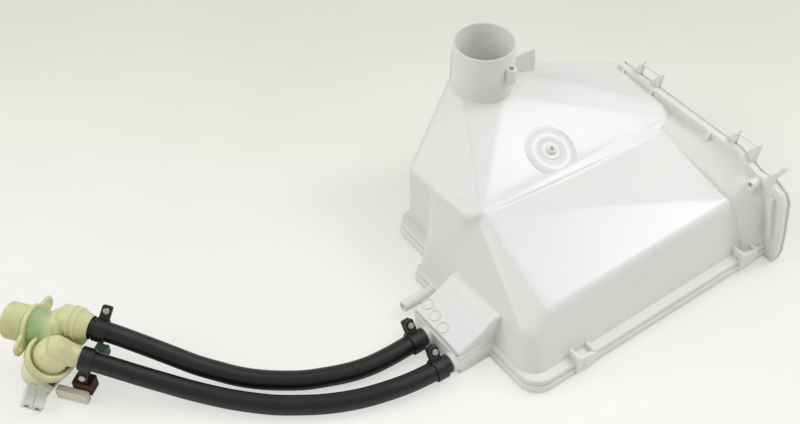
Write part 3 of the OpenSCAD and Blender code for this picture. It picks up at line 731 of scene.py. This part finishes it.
# %% [markdown]
# Clips hold the lid to the hopper on the near side: a plate on the lid's edge between two ribs. Inside, two
# runners on each side wall carry the drawer.

# %% Clips and runners
clips = []
for y0, y1 in ((-68, -50), (96, 114)):
    latch = rounded([(y0, 2.5, 0.5), (y1, 2.5, 0.5), (y1, 15, 1.5), (y0, 20, 1.5)], 5)
    clips.append(plate(latch, 91.5, 94.5, 0.4, *facing_x))
    clips.append(plate(box_line(84, y0 + 0.4, 93.6, y0 + 2.4, 0.3), 13, 20.5, 0.3))
    clips.append(plate(box_line(84, y1 - 2.4, 93.6, y1 - 0.4, 0.3), 13, 17, 0.3))
    clips.append(plate(box_line(y0 + 6, 5.5, y0 + 11, 10.5, 0.5), 94, 95.1, 0.3, *facing_x))
piece("side_clips", joined(*clips), lid_white)
runners = [plate(box_line(-91.5, -60, -86, 124, 0.5), z, z + 2, 0.3) for z in (16, 26)]
for z, inward in ((16, 0), (26, 5)):
    runners.append(plate(box_line(73 - inward, -60, 81 - inward, 100, 0.5), z, z + 2, 0.3))
piece("drawer_runners", joined(*runners), white)

# %% [markdown]
# ## Hoses
# Each hose is a tube of round section that follows a smooth line through its route's points. The line is a
# Catmull-Rom curve: between two points it is a cubic whose slope at each point is that of its neighbours.

# %% Routes of the hoses
route_1 = np.array([
    [-110.5, -333, 42.5], [-100.5, -322.5, 38], [-90.5, -312.5, 32.5], [-79.5, -302.5, 27.5], [-69, -293, 22.5],
    [-58, -283.5, 18], [-47.5, -273, 14], [-37, -262.5, 11], [-27.5, -251, 8.7], [-18.5, -238.5, 7.5],
    [-10, -225.5, 7.2], [-3.5, -212, 7.2], [2.5, -197.5, 7.5], [6.5, -183, 8], [8.5, -168, 9], [9, -153, 9.7],
    [9, -138, 10]])
route_2 = np.array([
    [-99.5, -350, 34.5], [-89, -339.5, 30.5], [-78.5, -329, 26], [-68, -318.5, 21.5], [-57.5, -308, 17.5],
    [-46.5, -297.5, 14], [-35.5, -287, 11.5], [-24.5, -276, 9.5], [-14, -264.5, 8], [-4, -253, 7.4],
    [5, -240.5, 7.2], [13.5, -227.5, 7.2], [21, -213.5, 7.5], [27, -199.5, 8], [32, -184.5, 9],
    [35.5, -169.5, 9.5], [37.5, -154, 10], [38, -138.5, 10]])


def tube(line, which, radius, sides=40):
    """Carries a circle along a line: each ring lies across the line, with its first point level to the side.
    which gives each ring's place along the line, and radius its radius."""
    n = np.gradient(line, axis=0)
    n /= np.linalg.norm(n, axis=1, keepdims=True)
    across = np.cross(n, [0, 0, 1])
    across /= np.linalg.norm(across, axis=1, keepdims=True)
    up = np.cross(across, n)
    a = np.linspace(0, 2 * np.pi, sides, endpoint=False)[None, :, None]
    ring = np.cos(a) * across[which][:, None] + np.sin(a) * up[which][:, None]
    return line[which][:, None] + np.asarray(radius, float)[:, None, None] * ring


def line_length(line):
    """The sum of the steps along the line."""
    return float(np.linalg.norm(np.diff(line, axis=0), axis=1).sum())


lines = [smooth_line(route_1), smooth_line(route_2)]
print("hose lengths", [round(line_length(x), 1) for x in lines], "mm")

# %% [markdown]
# Rubber hose is matt, with fine lines along it from the die it was pressed through. The lines need a coordinate
# that runs round the hose, so each hose carries its own UV map: u round it and v along it.

# %% Rubber
rubber, nodes, shader = new_finish("hose_rubber", (0.010, 0.010, 0.0105))
uv = add(nodes, "UVMap")
uv.uv_map = "along"
stretch = add(nodes, "Mapping", Scale=(90, 3, 1))
streaks = add(nodes, "TexNoise", Scale=1, Detail=5)
shade = ramp(nodes, (0.004, 0.004, 0.0045), (0.010, 0.010, 0.0105))
matt = add(nodes, "MapRange", To_Min=0.28, To_Max=0.42)
lines_bump = add(nodes, "Bump", Strength=0.2, Distance=0.0003)
link(uv, "UV", stretch, "Vector")
link(stretch, "Vector", streaks, "Vector")
link(streaks, "Fac", shade, "Fac")
link(shade, "Color", shader, "Base Color")
link(streaks, "Fac", matt, "Value")
link(matt, "Result", shader, "Roughness")
link(streaks, "Fac", lines_bump, "Height")
link(lines_bump, "Normal", shader, "Normal")
print("rubber ready")

# %% [markdown]
# Each hose is one tube. At its ends the wall turns in over the cut face and runs a few millimetres back inside, where
# the spigot hides it. The UV map comes from the finished mesh: every point looks for its nearest place on the line.

# %% The two hoses
for name, line, spot in (("hose_one", lines[0], "hose_1"), ("hose_two", lines[1], "hose_2")):
    last = len(line) - 1
    which = np.concatenate([[3, 0, 0, 0], np.arange(0, last + 1), [last, last, last, last - 3]])
    radius = np.full(len(which), 7.0)
    radius[:5] = [4.5, 4.5, 6.3, 6.85, 7.0]
    radius[-5:] = [7.0, 6.85, 6.3, 4.5, 4.5]
    shape = grid(tube(line, which, radius), False, True)
    hose = piece(name, shape, rubber, replaces=[spot], crisp=50, weld=0.001)
    layer = hose.data.uv_layers.new(name="along")
    co = np.zeros(len(hose.data.vertices) * 3)
    hose.data.vertices.foreach_get("co", co)
    co = co.reshape(-1, 3) * 1000
    nearest = np.concatenate([
        ((part[:, None] - line[None]) ** 2).sum(-1).argmin(1) for part in np.array_split(co, 20)])
    heading = np.gradient(line, axis=0)[nearest]
    heading /= np.linalg.norm(heading, axis=1, keepdims=True)
    across = np.cross(heading, [0, 0, 1])
    off = co - line[nearest]
    angle = np.arctan2((off * np.cross(across, heading)).sum(1), (off * across).sum(1)) / (2 * np.pi)
    uvs = np.stack([angle, nearest / len(line) * line_length(line) * 0.02], 1)
    corner = np.zeros(len(hose.data.loops), np.int32)
    hose.data.loops.foreach_get("vertex_index", corner)
    layer.data.foreach_set("uv", uvs[corner].ravel())
    print(name, "carries its UV map")

# %% [markdown]
# Each hose end is held by a band clamp: a closed band and an ear of two lips that a bolt pulls together. The clamp is
# made once, along X with its ear up, and then turned onto each hose.

# %% Hose clamps
def clamp_shapes():
    """A turned band, two lips made as plates across it, and a bolt with its head, all along X with the ear up."""
    band = np.array([[7.05, -4.5], [8.1, -4.5], [8.5, -4.1], [8.5, 4.1], [8.1, 4.5], [7.05, 4.5]])
    band = turned(band, 64)[..., [2, 0, 1]]
    lips = []
    for low, high in ((-3.5, -0.7), (0.7, 3.5)):
        lip_line = rounded([(-3.6, 7.6, 0.4), (3.6, 7.6, 0.4), (3.6, 17.6, 1.4), (-3.6, 17.6, 1.4)], 6)
        lips.append(plate(lip_line, low, high, 0.35, *facing_y))
    head = np.array([[0, -4.9], [1.9, -4.9], [2.2, -4.6], [2.2, -3.5], [1.3, -3.4], [1.3, 3.4], [2.3, 3.5], [2.3, 5.0],
                     [2.0, 5.3], [0, 5.3]])
    bolt = turned(head, 24)[..., [1, 2, 0]] + [0, 0, 13.6]
    return [grid(band, True, True), *lips], [grid(bolt, True)]


def onto_hose(shape, route, i, turn_by):
    """Turns a shape about X by turn_by degrees, then X onto the route's direction, at the middle of step i."""
    p, faces = shape
    d = route[i + 1] - route[i]
    yaw, pitch, roll = math.atan2(d[1], d[0]), -math.asin(d[2] / np.linalg.norm(d)), math.radians(turn_by)
    m = Matrix.Rotation(yaw, 3, "Z") @ Matrix.Rotation(pitch, 3, "Y") @ Matrix.Rotation(roll, 3, "X")
    return p @ np.array(m).T + (route[i] + route[i + 1]) / 2, faces


for name, route, i, turn_by in (("clamp_1_box", route_1, 15, -35), ("clamp_2_box", route_2, 16, -35),
                                ("clamp_1_valve", route_1, 0, -50), ("clamp_2_valve", route_2, 0, 165)):
    dark, bright = (joined(*[onto_hose(s, route, i, turn_by) for s in shapes]) for shapes in clamp_shapes())
    piece(name + "_band", dark, clamp_black, replaces=[name])
    piece(name + "_bolt", bright, zinc)

# %% [markdown]
# ## Inlet valve
# The valve has its own axes: one along its outlets, one to its rear coil, and each coil leans on its own axis.
# Two functions carry points from those axes to the housing's, so that each piece can be drawn upright.

# %% Axes of the valve
def at_valve(points):
    """From the valve's axes (along the outlets, to the rear coil, up) to the housing's."""
    c, s = 0.788011, 0.615661
    return points @ np.array([[c, s, 0], [-s, c, 0], [0, 0, 1]]) + [-108.3, -363.4, 0]


def at_coil(points, k):
    """From the axes of coil k (0 front, 1 rear; +Z out of the dome) to the housing's."""
    c, s = math.cos(math.radians(33)), math.sin(math.radians(33))
    flip = np.array([1, -1 if k else 1, 1])
    return at_valve((points * flip) @ np.array([[c, 0, -s], [0, 1, 0], [s, 0, c]]) + [0, 28 * k, 36])


def moved(shape, place, *more):
    """A shape with its points carried by a function."""
    return place(shape[0], *more), shape[1]


print("the front dome's foot is at", np.round(at_coil(np.zeros((1, 3)), 0)[0], 1))

# %% [markdown]
# The threaded inlet is turned. Its thread is a wave on the radius that advances by one pitch for each turn, and
# fades out at both ends; the bore inside is smooth, and a hose's washer sits on its end.

# %% Threaded inlet
pitch = 1.8
thread_z = np.linspace(1.2, 14.6, 120)
fore = np.array([[0, 26.4], [9.5, 26.4], [9.5, 0.6], [9.9, 0], [12.0, 0], [12.6, 0.5]])
aft = np.array([[12.7, 15.4], [12.2, 16.2], [12.2, 20]])
inlet_profile = np.concatenate([fore, np.stack([np.full(120, 13.2), thread_z], 1), aft])


def thread(a, z):
    """Depth of the thread: 0.5 mm times half of 1 - cos(turns), where turns is z / pitch plus the angle."""
    fade = np.clip((z - 1.0) / 1.5, 0, 1) * np.clip((15.0 - z) / 1.5, 0, 1)
    mask = (z > 1.1) & (z < 14.7)
    return -0.5 * mask * fade * (0.5 - 0.5 * np.cos(2 * np.pi * z / pitch + a))


inlet = placed(turned(inlet_profile, 96, thread), (-41, 17.5, 40), (1, 0, 0))
piece("threaded_inlet", moved(grid(inlet, True), at_valve), nylon, replaces=["valve_body"], crisp=60)

# %% [markdown]
# A mounting flange with two bored ears stands behind the thread. The chamber after it holds a green flow regulator,
# whose colour comes through the thin nylon.

# %% Flange, ears and chamber
circle = np.linspace(0, 2 * np.pi, 72, endpoint=False)
disc_line = np.stack([17.5 + 15.5 * np.cos(circle), 40 + 15.5 * np.sin(circle)], 1)
flange_parts = [plate(disc_line, -23.5, -20.5, 0.5, *facing_x)]
for s in (-1, 1):
    root, tip = 17.5 + s * 13, 17.5 + s * 25.5
    ear = rounded([(root, 33, 1), (tip, 35.2, 4.6), (tip, 44.8, 4.6), (root, 47, 1)], 14)
    flange_parts.append(holed(ear, (17.5 + s * 20.4, 40), 2.2, -23.4, -20.6, 0.5, *facing_x))
piece("valve_flange", joined(*[moved(s, at_valve) for s in flange_parts]), nylon)
chamber = np.array([[13.4, 0], [13.4, 3], [12.9, 4], [12.4, 11], [12.0, 14], [10.5, 16.5], [6, 18], [0, 18.4]])
chamber = placed(turned(chamber), (-20.6, 17.5, 40), (1, 0, 0))
piece("inlet_chamber", moved(grid(chamber, True), at_valve), green_nylon, crisp=60)

# %% [markdown]
# Each diaphragm chamber is a wide ring with a step and a domed cover. The two differ: the front one shows its whole
# ring, and the rear one sits lower behind its ribbed outlet. The outlets are tubes whose radius changes on the way.

# %% Diaphragm chambers and outlets
front_ring = np.array([
    [0, -9], [9.6, -9], [9.6, -11.2], [12, -11.2], [15.2, -9.0], [16.2, -8.6], [16.6, -7.6], [16.6, -4.4], [16.9, -3.9],
    [16.9, -1.2], [16.6, -0.1], [15.9, 0.5], [15.0, 0.5], [14.3, -0.1], [13.9, -1.4], [13.6, -3.0], [13.1, -3.6],
    [12.5, -3.3], [12.3, -2.2], [12.4, 0.6], [12.3, 3.4], [11.8, 6.2], [10.4, 9.2], [7.6, 11.4], [4, 12.4], [0, 12.7]])
rear_ring = np.array([
    [0, -9], [9.6, -9], [9.6, -11.2], [12, -11.2], [14.6, -9.0], [15.4, -8.4], [15.6, -7.4], [15.6, -3.6], [15.2, -2.8],
    [13.6, -2.3], [12.8, -1.8], [12.6, 0], [12.4, 3.4], [11.4, 6], [9.4, 8], [6, 9.4], [0, 9.8]])
body_line = np.stack([np.linspace(-12, 3, 16), np.full(16, 20.0), np.linspace(41, 42, 16)], 1)
barrel = [0, 6, 8.4, 9.4, 10, 10.2, 10.2, 10.2, 10.2, 10.2, 10, 9.6, 9, 8, 5.5, 0]
block = tube(body_line, np.arange(16), barrel, 40)
elbow = smooth_line(np.array([[-1.5, -1, 43], [4, 1.4, 41.4], [10, 3.6, 37.6], [16.6, 5.7, 33.9]]), 8)
step = np.arange(len(elbow))
elbow_tube = tube(elbow, step, np.interp(step, [0, 2, 8, 14, 20, 24], [0, 9.5, 10.6, 9.2, 8.0, 7.6]), 48)
reach_1 = np.array([[-6, 25.8, 44.6], [18.4, 25.35, 42.2]])
socket = reach_1[0] + (reach_1[1] - reach_1[0]) * np.linspace(0, 1, 61)[:, None]
ribs = np.array([
    [0, 0], [2, 8], [6, 10.4], [24, 11.1], [25, 11.8], [28, 11.8], [29, 11.1], [35, 11.0], [36, 11.7], [39, 11.7],
    [40, 10.9], [46, 10.2], [60, 8.4]])
ribs = np.interp(np.arange(61), *ribs.T)
socket_tube = tube(socket, np.arange(61), ribs, 56)
piece("front_chamber", moved(grid(turned(front_ring, 112), True), at_coil, 0), nylon, crisp=55)
piece("rear_chamber", moved(grid(turned(rear_ring, 96), True), at_coil, 1), nylon, crisp=55)
piece("valve_block", moved(grid(block, False, True), at_valve), nylon, crisp=60)
piece("front_outlet", moved(grid(elbow_tube, False, True), at_valve), nylon, crisp=60)
piece("rear_outlet", moved(grid(socket_tube, False, True), at_valve), nylon, crisp=50)

# %% [markdown]
# Under each chamber hangs a coil: a winding in a beige moulding, round a guide tube, with a flat boss for the
# terminals. The terminal shroud is a rounded block with two mouths, and a blade in each.

# %% Coils and terminals
winding = np.array([
    [5.3, -31], [11.2, -31], [11.8, -30.6], [12, -29.8], [12, -28.9], [11.5, -28.5], [11.5, -17.2],
    [12, -16.8], [12, -15],
    [11.6, -14.2], [11, -14], [5.3, -14]])
boss = plate(box_line(-1, -12, 14, -7.5, 0.8), -30, -21, 0.5)
slant = math.radians(16)
lean_out = np.array([[math.cos(slant), math.sin(slant), 0], [-math.sin(slant), math.cos(slant), 0], [0, 0, 1]])
about = np.array([4.5, -12.1, 0])


def swung(points):
    """Turns the terminals out by the slant about the edge where they leave the winding."""
    return (points - about) @ lean_out + about


half_a = box_line(-3, -30.6, 4.5, -22.6, 0.9)
half_b = box_line(4.5, -30.6, 12, -22.6, 0.9)
mouth_a = holed(half_a, (0.8, -26.9), 1.6, 13.2, 27, 0.5, *facing_y)
mouth_b = holed(half_b, (8.2, -26.9), 1.6, 13.2, 27, 0.5, *facing_y)
for k, number in ((0, 2), (1, 1)):
    coil = joined(grid(turned(winding, 72), True, True), boss)
    piece(f"coil_{number}_moulding", moved(coil, at_coil, k), beige, replaces=[f"coil_{number}"])
    back = plate(box_line(-3, -30.6, 12, -22.6, 0.9), 11.9, 14.5, 0.4, *facing_y)
    shroud = joined(*[moved((p * [1, -1, 1], faces), swung) for p, faces in (mouth_a, mouth_b, back)])
    blades = [plate(box_line(x, -29.2, x + 2.4, -17, 0.4), -27.3, -26.5, 0.15) for x in (-0.4, 7.0)]
    name = f"terminal_{number}"
    piece(name + "_shroud", moved(shroud, at_coil, k), shroud_white, replaces=[f"terminals_{number}"])
    piece(name + "_blades", moved(moved(joined(*blades), swung), at_coil, k), zinc)

# %% [markdown]
# A small spring above each plunger closes the valve when its coil is off. It shortens by the plunger's travel of
# three millimetres. Each spring gets a mesh of its own.

# %% Closing springs
t = np.linspace(0, 1, 265)
coiling = 2 * np.pi * 5.5 * t
wire_line = np.stack([
    2.6 * np.cos(coiling), 2.6 * np.sin(coiling), -28.98 + 6.46 * np.clip((5.5 * t - 0.7) / 4.1, 0, 1)], 1)
helix = tube(wire_line, np.concatenate([[0], np.arange(265), [264]]), np.concatenate([[0], np.full(265, 0.4), [0]]), 14)
for k, number, joint in ((0, 2, "plunger_two_slide"), (1, 1, "plunger_one_slide")):
    spring = piece(f"spring_{number}", moved(grid(helix, False, True), at_coil, k), wire,
                   replaces=[f"plunger_spring_{number}"], crisp=80)
    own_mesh(spring)

# %% [markdown]
# The connectors lie beside the coils: a pale base on the floor, and a coloured block on it, dark red for one
# circuit and dark green for the other.

# %% Connectors
for k, number, tint, name in ((0, 2, red, "connector_red"), (1, 1, green, "connector_green")):
    shift = np.array([0, 28 * k, 0])
    base = joined(
        plate(box_line(0.5, -9, 24, -3.1, 1.2), 0, 9, 0.8), plate(box_line(3, -9.6, 20, -8.4, 0.5), 2, 7, 0.4))
    base = moved((base[0] + shift, base[1]), at_valve)
    piece(f"connector_{number}_base", base, milky, replaces=[f"connector_base_{number}"])
    far, high = (20.5, 11) if k else (25, 14)
    block = joined(plate(box_line(11, -3, far, 8, 0.9), 3, high, 0.7),
                   plate(box_line(13, -1, far - 3, 6, 0.6), high - 0.4, high + 0.6, 0.35))
    piece(name + "_block", moved((block[0] + shift, block[1]), at_valve), tint, replaces=[name])

# %% [markdown]
# ## Floor and light
# The floor is plain and pale, with a faint mottle. Painted shade darkens it towards the far side, and it is nearly
# white where it is closest to the camera. The near side gets its white from a little glow that only the camera sees, so
# that no light is added to the housing. Brighter lamps would whiten the floor as well, but they would bleach the pale
# plastic first.

# %% Floor
floor_stuff, nodes, shader = new_finish("paper_floor", (0.90, 0.89, 0.84))
where = add(nodes, "TexCoord")
mottle = add(nodes, "TexNoise", Scale=5, Detail=8)
paper = ramp(nodes, (0.83, 0.815, 0.76), (0.90, 0.89, 0.84), 0.3, 0.6)
away = distance_along(nodes, (-0.81, 0.585, 0))
far_side = add(nodes, "MapRange", From_Min=-0.15, From_Max=0.55)
near_side = add(nodes, "MapRange", From_Min=0.3, From_Max=-0.15, To_Max=0.62)
# painted shade: the paper's colour fades into a darker tint towards the far side
far_side_shade = faded(nodes, paper, (0.66, 0.66, 0.58), far_side)
lit = add(nodes, "Math")
lit.operation = "MULTIPLY"
both = add(nodes, "MixShader")
link(where, "Object", mottle, "Vector")
link(mottle, "Fac", paper, "Fac")
link(away, "Value", far_side, "Value")
link(away, "Value", near_side, "Value")
link(far_side_shade, 2, shader, "Base Color")
link(near_side, "Result", lit, 0)
link(add(nodes, "LightPath"), "Is Camera Ray", lit, 1)
link(lit, "Value", both, "Fac")
link(shader, "BSDF", both, 1)
link(add(nodes, "Emission", Color=(1, 1, 0.97, 1)), "Emission", both, 2)
link(both, "Shader", nodes["Material Output"], "Surface")
shader.inputs["Roughness"].default_value = 0.9
sheet = bpy.data.meshes.new("floor")
u = np.linspace(-4, 4, 9)
gx, gy = np.meshgrid(u, u, indexing="ij")
flat_points, flat_faces = grid(np.stack([gx, gy, 0 * gx - 0.0005], -1))
sheet.from_pydata(flat_points.tolist(), [], flat_faces[0].tolist())
floor = bpy.data.objects.new("floor", sheet)
bpy.context.scene.collection.objects.link(floor)
floor.data.materials.append(floor_stuff)
print("floor", len(flat_faces[0]), "faces")

# %% [markdown]
# A large soft lamp hangs over the far side and another over the near side. A small one stands where the sloping
# panel mirrors it, which sets that panel off from its neighbour. An even world light fills the shadows.

# %% Lamps and world
def lamp(name, at, to, size, power, tint=(1, 1, 1)):
    """A square area lamp at a place, aimed at a point: its -Z axis looks along the line between them."""
    data = bpy.data.lights.new(name, "AREA")
    data.size, data.energy, data.color = size, power, tint
    made = bpy.data.objects.new(name, data)
    bpy.context.scene.collection.objects.link(made)
    z = np.array(at, float) - to
    z /= np.linalg.norm(z)
    x = np.cross([0, 1, 0], z)
    x /= np.linalg.norm(x)
    m = np.eye(4)
    m[:3, 0], m[:3, 1], m[:3, 2], m[:3, 3] = x, np.cross(z, x), z, at
    made.matrix_world = Matrix(m.tolist())


lamp("key", (0.25, 1.0, 1.7), (0, -0.1, 0), 2.3, 13.5)
lamp("fill", (-0.9, -1.3, 1.3), (0, -0.1, 0), 1.4, 13)
lamp("sheen", (0.32, 1.14, 1.55), (-0.03, 0, 0.07), 0.5, 6)
world = bpy.data.worlds.new("studio")
bpy.context.scene.world = world
world.use_nodes = True
sky = world.node_tree.nodes["Background"]
sky.inputs["Color"].default_value = (1, 1, 1, 1)
sky.inputs["Strength"].default_value = 0.5
bpy.context.scene.view_settings.view_transform = "Standard"
print("lights ready")
